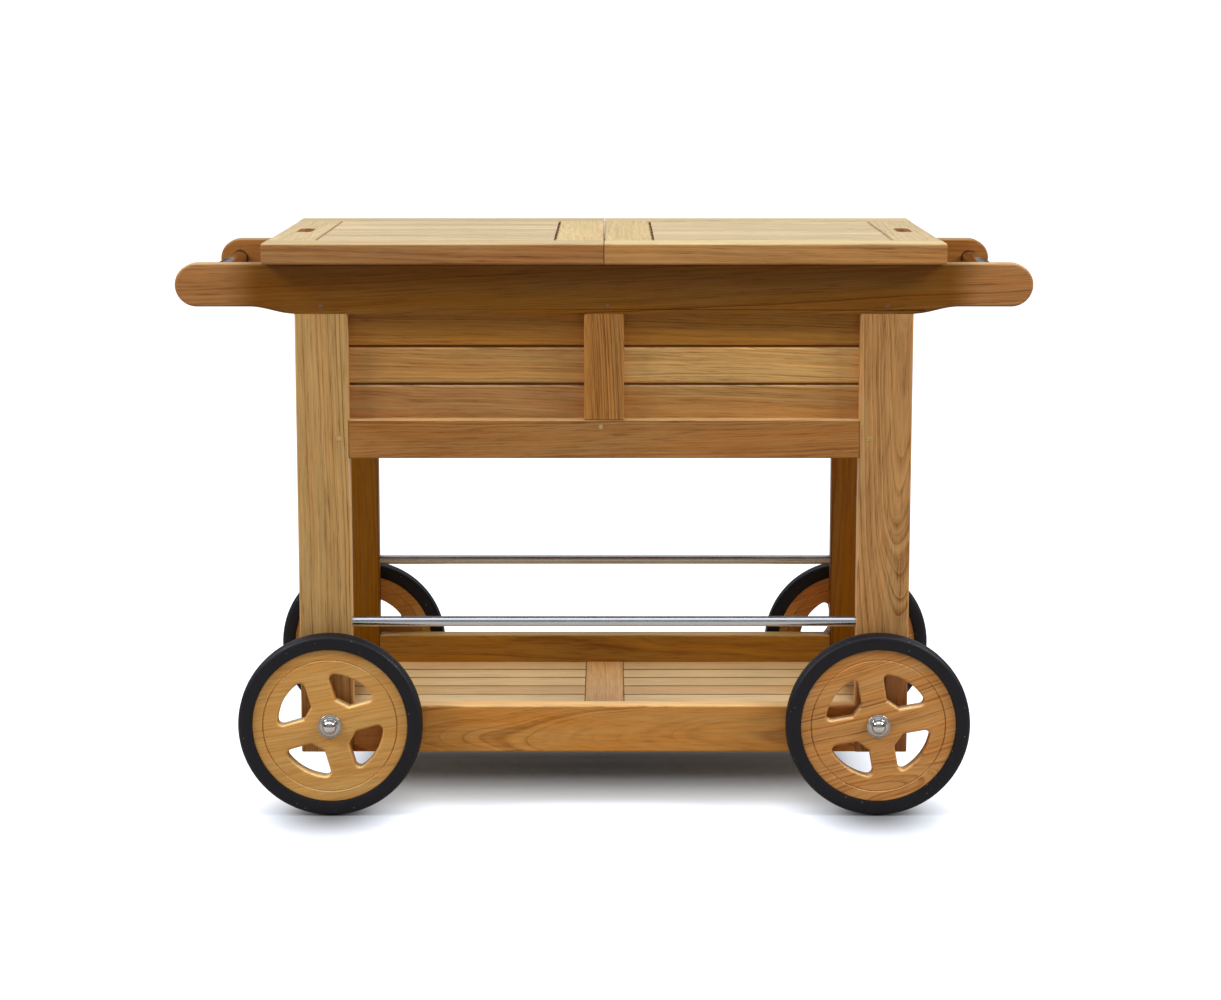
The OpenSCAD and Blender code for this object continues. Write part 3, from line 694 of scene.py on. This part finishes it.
# %% Helpers for turned pieces
def turned(name, outline, steps, capped=False):
    """A round piece about the Y axis. outline is a list of (radius, place along Y). A closed
    outline ends where it starts. A capped piece is open at its start and closed at its end."""
    select_only()
    radius, place = outline[0]
    bpy.ops.mesh.primitive_circle_add(vertices=steps, radius=radius * mm,
                                      rotation=(math.pi / 2, 0, 0), location=(0, place * mm, 0))
    piece = bpy.context.object
    piece.name = name
    bpy.ops.object.mode_set(mode="EDIT")
    bpy.ops.mesh.select_all(action="SELECT")
    if capped:
        bpy.ops.mesh.edge_face_add()
        bpy.ops.mesh.select_all(action="SELECT")
    for new_radius, new_place in outline[1:]:
        grow = new_radius / radius
        bpy.ops.mesh.extrude_region_move(
            TRANSFORM_OT_translate={"value": (0, (new_place - place) * mm, 0)})
        bpy.ops.transform.resize(value=(grow, 1, grow))
        radius, place = new_radius, new_place
    bpy.ops.object.mode_set(mode="OBJECT")
    return piece


def arc(middle, radius, start_deg, end_deg, steps):
    """Points on an arc of an outline."""
    turns = [math.radians(start_deg + (end_deg - start_deg) * i / steps)
             for i in range(steps + 1)]
    return [(middle[0] + radius * math.cos(t), middle[1] + radius * math.sin(t)) for t in turns]


def both_sides(half):
    """A closed outline from the half of it that lies at negative Y."""
    return half + [(radius, -place) for radius, place in reversed(half)] + half[:1]


print("points on a quarter arc", len(arc((0, 0), 1, 0, 90, 8)))

# %% [markdown]
# ## Handle rails
#
# The two long rails end in handles. Where a hand grips them, all their edges are rounded over to
# 4 mm, and so is the top outer edge along the cart. A bevel over all sharp edges would open the
# joints, so only these edges are picked, on a copy of the frame's rail whose loose triangles are
# merged first.

# %% Round the handle rails
grip_round = 4 * mm
post_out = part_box("front_right_post")[1].x
near_face = 0.1 * mm


def pick_edges(rail, high, outer):
    """Selects the edges of the grips and the top outer edge, and says how many they are."""
    tilts_at = {}
    for face in rail.data.polygons:
        for key in face.edge_keys:
            tilts_at.setdefault(key, []).append(abs(face.normal.y))
    picked = 0
    for edge in rail.data.edges:
        tilts = sorted(tilts_at[edge.key])
        along_side = len(tilts) == 2 and tilts[0] < 0.1 and tilts[1] > 0.9
        ends = [rail.data.vertices[i].co for i in edge.vertices]
        on_grip = all(abs(e.x) > post_out + 0.5 * mm for e in ends)
        on_top = all(e.z > high - near_face and abs(e.y) > outer - near_face for e in ends)
        edge.select = along_side and (on_grip or on_top)
        picked += edge.select
    return picked


def rounded_rail(name, source):
    """A copy of the frame's rail with rounded grips."""
    rail = copied(nodes[source], name)
    del rail["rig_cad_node"]
    rail.modifiers.clear()
    bpy.ops.object.mode_set(mode="EDIT")
    bpy.ops.mesh.select_all(action="SELECT")
    bpy.ops.mesh.remove_doubles(threshold=merge_distance)
    bpy.ops.mesh.dissolve_limited(angle_limit=flat_angle)
    bpy.ops.mesh.select_mode(type="EDGE")
    bpy.ops.mesh.select_all(action="DESELECT")
    bpy.ops.object.mode_set(mode="OBJECT")
    low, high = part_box(source)
    picked = pick_edges(rail, high.z, max(abs(low.y), abs(high.y)))
    print(name, "edges rounded", picked)
    bpy.ops.object.mode_set(mode="EDIT")
    bpy.ops.mesh.bevel(offset=grip_round, segments=5, affect="EDGES")
    bpy.ops.mesh.select_mode(type="VERT")
    bpy.ops.object.mode_set(mode="OBJECT")
    settle(rail, 25)
    level_faces(rail)
    return rail


for end_name in ("front", "rear"):
    source = end_name + "_handle_rail"
    wood = nodes[source].material_slots[0].material
    rail = rounded_rail(end_name + "_rounded_rail", source)
    place_piece(rail, wood, "cart", "teak_frame", source)

# %% [markdown]
# ## Rubber
#
# The tyres are solid black rubber. It is never quite black, but a dark blue-grey with a dull
# sheen, mottled by the mould, with a little pale dust. A plain dark colour would look like paint,
# so blotches, grit and dust are each drawn at their own size.

# %% Rubber material
blotch_waves = 0.04
grit_waves = 0.45
speck_waves = 0.1575
dusty_share = 0.10


def rubber(name, seed):
    """Moulded rubber: blotches some 25 mm wide, a fine grit, and a few specks of dust."""
    material, tree, shader = new_material(name)
    place = add(tree, "TexCoord").outputs["Object"]
    blotch_at = add(tree, "VectorMath", {0: place, "Scale": blotch_waves / mm},
                    operation="SCALE")
    blotches = add(tree, "TexNoise", {"Vector": blotch_at, "W": seed, "Scale": 1.0,
                                      "Detail": 4.0, "Roughness": 0.6}, noise_dimensions="4D")
    grit = add(tree, "TexNoise", {"Vector": place, "Scale": grit_waves / mm, "Detail": 3.0})
    specks = add(tree, "TexVoronoi", {"Vector": place, "Scale": speck_waves / mm})
    draw = add(tree, "SeparateColor", {"Color": specks.outputs["Color"]})
    rare = add(tree, "Math", {0: draw, 1: 1 - dusty_share}, operation="GREATER_THAN")
    dot = add(tree, "MapRange", {"Value": specks.outputs["Distance"], "From Min": 0.10,
                                 "From Max": 0.22, "To Min": 0.5, "To Max": 0.0})
    dust = add(tree, "Math", {0: rare, 1: dot}, operation="MULTIPLY")
    gritty = add(tree, "Math", {0: grit, 1: 0.3}, operation="MULTIPLY")
    tone = add(tree, "Math", {0: blotches, 1: 0.7, 2: gritty}, operation="MULTIPLY_ADD")
    blue_black = add(tree, "ValToRGB", {"Fac": tone},
                     stops=[(0.32, linear("#0A0A11")), (0.68, linear("#171822"))])
    dusty = add(tree, "Mix", {"Factor": dust, 6: blue_black, 7: linear("#8A8580")},
                data_type="RGBA")
    dull = add(tree, "MapRange", {"Value": tone, **noise_range,
                                  "To Min": 0.42, "To Max": 0.62})
    bump = add(tree, "Bump", {"Height": grit, "Strength": 0.4, "Distance": 0.15 * mm})
    wire(shader, {"Base Color": dusty.outputs[2], "Specular IOR Level": 0.28,
                  "Roughness": dull, "Normal": bump})
    return material


print("blotches in mm", 1 / blotch_waves)

# %% [markdown]
# ## Wheels
#
# Each wheel is a thick teak disc with four cutouts, which leave four spokes. A fine V groove runs
# round its face, the cutouts' edges are rounded over so that hands don't catch, and a tyre with
# round shoulders is stretched over the rim. The disc is turned, groove and all. The cutout is
# drawn as its outline between two spokes, and insets in small steps give it the flare of a
# round-over bit towards both faces. Four copies of it are one tool, which is subtracted at once.
# The edges could be bevelled after the cut, but the thin triangles of the turned face would get
# in the way. The wheels stand at the turn at which the picture shows them.

# %% Sizes of the wheels
disc_low, disc_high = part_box("front_left_disc")
tyre_low, tyre_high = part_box("front_left_tyre")
disc_half = (disc_high.y - disc_low.y) / 2 / mm
rim_r = (disc_high.z - disc_low.z) / 2 / mm
tread_r = (tyre_high.z - tyre_low.z) / 2 / mm
tyre_half = (tyre_high.y - tyre_low.y) / 2 / mm
hub_r = 10.05
rim_round = 1.5
groove_r = 105.3
groove_half = 1.3
groove_deep = 1.7
cutout_r = 83
corner_r = 8
spoke_half = 20
hub_flat = 40
inner_corner_r = 1.5
round_over = 3.8
round_steps = 5
tool_clear = 2
flare_lift = 0.005
print("disc radius", round(rim_r, 2), "tyre radius", round(tread_r, 2))

# %% The cutout's outline and its tool
def cutout_outline(grow):
    """The outline between two spokes, in millimetres from the axle, moved outwards by grow: the
    flat inner edge, the two spoke edges, the outer arc and the round corners between them."""
    first = spoke_half + inner_corner_r
    second = math.sqrt(2) * (hub_flat + inner_corner_r) - first
    near = spoke_half + corner_r
    far = math.sqrt((cutout_r - corner_r) ** 2 - near ** 2)
    swing = math.degrees(math.atan2(far, near))
    points = arc((second, first), inner_corner_r + grow, 270, 225, 3)
    points += arc((first, second), inner_corner_r + grow, 225, 180, 3)
    points += arc((near, far), corner_r + grow, 180, swing, 8)
    points += arc((0, 0), cutout_r + grow, swing, 90 - swing, 16)[1:-1]
    points += arc((far, near), corner_r + grow, 90 - swing, -90, 8)
    return points


def push(vector):
    """Extrudes what is selected, by a vector in millimetres."""
    bpy.ops.mesh.extrude_region_move(
        TRANSFORM_OT_translate={"value": [step * mm for step in vector]})


def cutout_tool():
    """A cutter with the outlines of all four cutouts, flared towards both faces of the disc. The
    flare starts a hair above the face, so that no edge of the tool lies in it."""
    outline = [Vector((x, 0, z)) for x, z in cutout_outline(round_over)]
    select_only()
    bpy.ops.mesh.primitive_plane_add(
        size=mm, location=outline[0] * mm - Vector((0, (disc_half + tool_clear) * mm, 0)))
    tool = bpy.context.object
    bpy.ops.object.mode_set(mode="EDIT")
    bpy.ops.mesh.select_all(action="SELECT")
    bpy.ops.mesh.merge(type="CENTER")
    for here, there in zip(outline, outline[1:]):
        push(there - here)
    bpy.ops.mesh.select_all(action="SELECT")
    bpy.ops.mesh.edge_face_add()
    push((0, tool_clear - flare_lift, 0))
    turns = [math.radians(90 * i / round_steps) for i in range(round_steps + 1)]
    for before, after in zip(turns, turns[1:]):
        inwards = math.sin(after) - math.sin(before)
        down = math.cos(before) - math.cos(after)
        bpy.ops.mesh.inset(thickness=round_over * mm * inwards)
        bpy.ops.transform.translate(value=(0, round_over * mm * down, 0))
    push((0, disc_half - round_over + flare_lift, 0))
    bpy.ops.mesh.delete(type="ONLY_FACE")
    bpy.ops.mesh.select_all(action="SELECT")
    bpy.ops.mesh.duplicate()
    bpy.ops.transform.resize(value=(1, -1, 1), center_override=(0, 0, 0))
    bpy.ops.mesh.select_all(action="SELECT")
    bpy.ops.mesh.remove_doubles(threshold=0.01 * mm)
    bpy.ops.mesh.normals_make_consistent(inside=False)
    for quarter in range(3):
        bpy.ops.mesh.duplicate()
        bpy.ops.transform.rotate(value=math.pi / 2, orient_axis="Y", center_override=(0, 0, 0))
    bpy.ops.object.mode_set(mode="OBJECT")
    return tool


print("points on the outline", len(cutout_outline(0)))

# %% Model the disc
def subtract(piece, tool):
    """Cuts the tool out of the piece and removes the tool."""
    cut = piece.modifiers.new("cut", "BOOLEAN")
    cut.operation = "DIFFERENCE"
    cut.solver = "EXACT"
    cut.object = tool
    select_only(piece)
    bpy.ops.object.modifier_apply(modifier=cut.name)
    bpy.data.objects.remove(tool)


disc_outline = [(hub_r, -disc_half), (groove_r - groove_half, -disc_half),
                (groove_r, groove_deep - disc_half), (groove_r + groove_half, -disc_half)]
disc_outline += arc((rim_r - rim_round, rim_round - disc_half), rim_round, -90, 0, 4)
disc = turned("disc_blank", both_sides(disc_outline), steps=150)
settle(disc)
subtract(disc, cutout_tool())
settle(disc)
level_faces(disc)
print("faces of a disc", len(disc.data.polygons))

# %% Model the tyre
# Round shoulders, a slightly crowned tread and the mould's parting line
shoulder_r = 7
seat_r = rim_r + 0.05
crown_r = tread_r - 0.3

tyre_outline = [(seat_r, 1.6 - tyre_half), (seat_r + 0.4, 0.5 - tyre_half),
                (seat_r + 1.4, -tyre_half)]
tyre_outline += arc((crown_r - 7.4, shoulder_r - tyre_half), shoulder_r, -90, -8, 8)
tyre_outline += [(crown_r, -1.4), (tread_r, -0.5)]
tyre = turned("tyre_blank", both_sides(tyre_outline), steps=160)
settle(tyre, 35)
print("faces of a tyre", len(tyre.data.polygons))

# %% Put the discs and the tyres on their axles
turn_deg = {"left": 16, "right": 10}
disc_colour = {"left": "#DFA65C", "right": "#D89754"}
# The discs' faces that look up, such as the cutouts' lower walls, get painted light from above
disc_grain = {"left": dict(pith=(-110, 30), ring=7, slant=(-0.17, 0.0), lines=0.4, streaks=0.8,
                           bend=9, top_light_paint=0.8),
              "right": dict(pith=(-90, 40), ring=10, slant=(-0.30, 0.0), lines=1.3, bend=14,
                            top_light_paint=0.8)}


def middle_of(node):
    """The middle of a node's box."""
    low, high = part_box(node)
    return (low + high) / 2


for seed, corner in enumerate(corners):
    body = corner + "_wheel"
    side = corner.split("_")[1]
    wood = teak("teak_" + corner + "_disc", corner + "_disc", "XZY", [disc_colour[side]],
                60 + 7 * seed, **disc_grain[side])
    place_piece(copied(disc, corner + "_spoked_disc", middle_of(corner + "_disc"),
                       (0, -math.radians(turn_deg[side]), 0)),
                wood, body, "teak_wheels", corner + "_disc")
    place_piece(copied(tyre, corner + "_rubber_tyre", middle_of(corner + "_tyre")),
                rubber("rubber_" + corner, seed), body, "rubber_tyres", corner + "_tyre")

# %% [markdown]
# ## Hub fittings
#
# Outside each wheel sits a pressed washer with a rolled rim, and on it a polished cap nut whose
# dome mirrors the room. A spacer keeps the wheel off the post. All three are turned for the rear
# side, and half a turn takes them to the front.

# %% Model a washer, a spacer and a cap nut
bolt_r = 6.1
washer_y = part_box("axle_washers")[1].y / mm
nut_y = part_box("cap_nuts")[1].y / mm
foot_y = washer_y + 0.02
dome_y = foot_y + 2.0
dome_r = 11.6
dome_deg = (8, 16, 24, 32, 40, 48, 56, 64, 71, 77, 82, 86, 88.5)

washer_outline = [(bolt_r, washer_y - 2), (18.0, washer_y - 2)]
washer_outline += arc((17.5, washer_y - 1.0), 1.0, -60, 130, 8)
washer_outline += [(16.2, washer_y - 1.1), (14.6, washer_y - 1.1), (13.4, washer_y - 0.4),
                   (bolt_r, washer_y - 0.4), (bolt_r, washer_y - 2)]
spacer_outline = [(bolt_r, 269.0), (11.6, 269.0), (12.0, 269.4), (12.0, 278.8), (11.6, 279.2),
                  (bolt_r, 279.2), (bolt_r, 269.0)]
nut_outline = [(12.0, foot_y), (12.5, foot_y + 0.4), (12.5, foot_y + 1.5), (12.1, foot_y + 1.9),
               (11.7, dome_y)]
nut_outline += [(dome_r * math.cos(math.radians(a)),
                 dome_y + (nut_y - dome_y) * math.sin(math.radians(a))) for a in dome_deg]

washer = turned("washer_blank", washer_outline, steps=96)
settle(washer)
spacer = turned("spacer_blank", spacer_outline, steps=64)
settle(spacer)
nut = turned("nut_blank", nut_outline, steps=64, capped=True)
settle(nut, 40)
print("washer end", round(washer_y, 2), "nut end", round(nut_y, 2))

# %% Put the fittings on their axles
fittings = ((washer, "_washer", washer_steel, "satin_stainless", "axle_washers"),
            (spacer, "_spacer", washer_steel, "satin_stainless", "axle_washers"),
            (nut, "_cap_nut", polished_steel, "polished_stainless", "cap_nuts"))

for corner in corners:
    axle = middle_of(corner + "_disc")
    half_turn = (0, 0, math.pi if axle.y < 0 else 0)
    for blank, ending, metal, slot, replaced in fittings:
        fitting = copied(blank, corner + ending, (axle.x, 0, axle.z), half_turn)
        place_piece(fitting, metal, "cart", slot, replaced)
for blank in (disc, tyre, washer, spacer, nut):
    bpy.data.objects.remove(blank)

# %% [markdown]
# ## The studio
#
# The cart stands on a white floor in a white room. Soft lamps to its left and right bring out
# the rounded edges of slats and discs, which one lamp above the camera would flatten, and a weak,
# broad one hangs above the front.
#
# A floor lit until it is white would also light the cart from below, so the floor glows instead,
# for the camera and, as a painted reflection, for what is mirrored in metal. The glow fades below
# the cart and round the foot of each wheel, which makes a painted soft shadow, and round each foot
# the floor's own colour is painted darker too.

# %% Floor with a painted soft shadow
floor_size = 30
shade_half = (0.33, 0.038)
shade_steep = 1.6
shade_fade = 0.30
contact_fade = (0.18, 0.225)
floor_glow = 0.9
mirrored_glow = 0.42

select_only()
bpy.ops.mesh.primitive_plane_add(size=floor_size, location=(0, 0, 0))
floor = bpy.context.object
floor.name = "studio_floor"
paper, tree, shader = new_material("studio_paper_floor")
place = add(tree, "TexCoord").outputs["Object"]
mirrored = add(tree, "VectorMath", {0: place}, operation="ABSOLUTE")
outside = add(tree, "VectorMath", {0: mirrored, 1: (*shade_half, 1.0)}, operation="SUBTRACT")
steeper = add(tree, "VectorMath", {0: outside, 1: (shade_steep, 1, 1)}, operation="MULTIPLY")
beyond = add(tree, "VectorMath", {0: steeper, 1: (0, 0, 0)}, operation="MAXIMUM")
from_cart = add(tree, "VectorMath", {0: beyond}, operation="LENGTH").outputs["Value"]
# Painted shadow: the floor's glow fades towards the cart
away = add(tree, "MapRange", {"Value": from_cart, "From Max": shade_fade,
                              "To Max": floor_glow}, **soft)
foot = [abs(tyre_low[i] + tyre_high[i]) / 2 for i in (0, 1)]
to_wheel = add(tree, "VectorMath", {0: mirrored, 1: (*foot, 0)}, operation="SUBTRACT")
scaled = add(tree, "VectorMath", {0: to_wheel, 1: (1 / contact_fade[0], 1 / contact_fade[1], 1)},
             operation="MULTIPLY")
from_wheel = add(tree, "VectorMath", {0: scaled}, operation="LENGTH").outputs["Value"]
# Painted contact shadow: the glow and the floor's colour fade round each wheel's foot
clear = add(tree, "MapRange", {"Value": from_wheel}, **soft)
open_floor = add(tree, "Math", {0: away, 1: clear}, operation="MULTIPLY")
print("a wheel's foot in metres", [round(f, 3) for f in foot])

# %% The floor's paper
ray = add(tree, "LightPath")
seen = ray.outputs["Is Camera Ray"]
glossy = ray.outputs["Is Glossy Ray"]
shown = add(tree, "Math", {0: glossy, 1: mirrored_glow, 2: seen}, operation="MULTIPLY_ADD")
glow = add(tree, "Math", {0: open_floor, 1: shown}, operation="MULTIPLY")
# Painted reflection: what metal mirrors of the floor is a warmer glow
warmth = add(tree, "Mix", {"Factor": glossy, 6: linear("#FFFFFF"), 7: linear("#FFE2BE")},
             data_type="RGBA")
tooth = add(tree, "TexNoise", {"Vector": place, "Scale": 40.0})
white = add(tree, "ValToRGB", {"Fac": tooth},
            stops=[(0.3, linear("#B7C4D8")), (0.7, linear("#BDCADE"))])
# Painted contact shadow: near each wheel's foot the floor's colour for the camera is a darker grey
painted_contact_shadow = add(tree, "Mix", {"Factor": clear, 6: linear("#7A7C80"), 7: white}, data_type="RGBA")
pale = add(tree, "Mix", {"Factor": seen, 6: linear("#A4A4A4"), 7: painted_contact_shadow.outputs[2]},
           data_type="RGBA")
wire(shader, {"Base Color": pale.outputs[2], "Roughness": 0.9,
              "Emission Color": warmth.outputs[2], "Emission Strength": glow})
floor.data.materials.append(paper)
print("floor glows at", floor_glow, "and in mirrors at", mirrored_glow)

# %% Lamps
lamp_target = Vector((0, 0, 0.45))


def soft_lamp(name, azimuth_deg, height_deg, distance, size, watts):
    """A square soft lamp. The azimuth is counted from the front, positive towards the right."""
    azimuth, height = math.radians(azimuth_deg), math.radians(height_deg)
    towards = Vector((math.sin(azimuth) * math.cos(height), -math.cos(azimuth) * math.cos(height),
                      math.sin(height)))
    bpy.ops.object.light_add(type="AREA", location=lamp_target + distance * towards,
                             rotation=towards.to_track_quat("Z", "Y").to_euler())
    lamp = bpy.context.object
    lamp.name = name
    lamp.data.size = size
    lamp.data.energy = watts
    print(name, "watts", watts)


soft_lamp("left_lamp", -71, 37, 4.5, 1.6, 125)
soft_lamp("right_lamp", 71, 37, 4.5, 1.6, 125)
soft_lamp("top_lamp", 0, 62, 4.0, 3.4, 30)

# %% [markdown]
# ## The room
#
# The room is white to the camera. As a source of light it is dim in front and brighter behind,
# so that the colours stay deep and the boards' tops are the palest. Metal would look flat in an
# even white room, so what it mirrors has a dark front, darker sides, a wall behind that gets
# brighter as it climbs, and a bright ceiling.

# %% Room
light_front = 0.15
light_back = 0.8
mirror_low = 0.10
mirror_back = 0.60
mirror_top = 1.0
mirror_front = 0.3
mirror_side = 0.12

room = bpy.data.worlds.new("white_room")
scene.world = room
room.use_nodes = True
tree = room.node_tree
looking = add(tree, "SeparateXYZ", {0: add(tree, "TexCoord").outputs["Generated"]})
aside = add(tree, "Math", {0: looking}, operation="ABSOLUTE")
behind = add(tree, "MapRange", {"Value": looking.outputs["Y"], "From Min": -0.25,
                                "From Max": 0.6}, **soft)
sideways = add(tree, "MapRange", {"Value": aside, "From Min": 0.5, "From Max": 0.85}, **soft)
above = add(tree, "MapRange", {"Value": looking.outputs["Z"], "From Min": 0.6,
                               "From Max": 0.9}, **soft)
lit = add(tree, "MapRange", {"Value": behind, "To Min": light_front, "To Max": light_back})
climb = add(tree, "ValToRGB", {"Fac": looking.outputs["Z"]},
            stops=[(0.12, mirror_low), (0.24, mirror_back)])
walls = add(tree, "Mix", {"Factor": behind, 2: mirror_front, 3: climb})
panel = add(tree, "Mix", {"Factor": above, 2: walls, 3: mirror_top})
reflected = add(tree, "MapRange", {"Value": sideways, "To Min": panel, "To Max": mirror_side})
ray = add(tree, "LightPath")
bounce = add(tree, "Mix", {"Factor": ray.outputs["Is Glossy Ray"], 2: lit, 3: reflected})
direct = add(tree, "Math", {0: ray.outputs["Is Camera Ray"],
                            1: ray.outputs["Is Transmission Ray"]}, operation="MAXIMUM")
level = add(tree, "Math", {0: direct, 1: bounce}, operation="MAXIMUM")
wire(tree.nodes["Background"], {"Color": (1, 1, 1, 1), "Strength": level})
scene.view_settings.view_transform = "Standard"
print("room brightness, front and back", light_front, light_back)
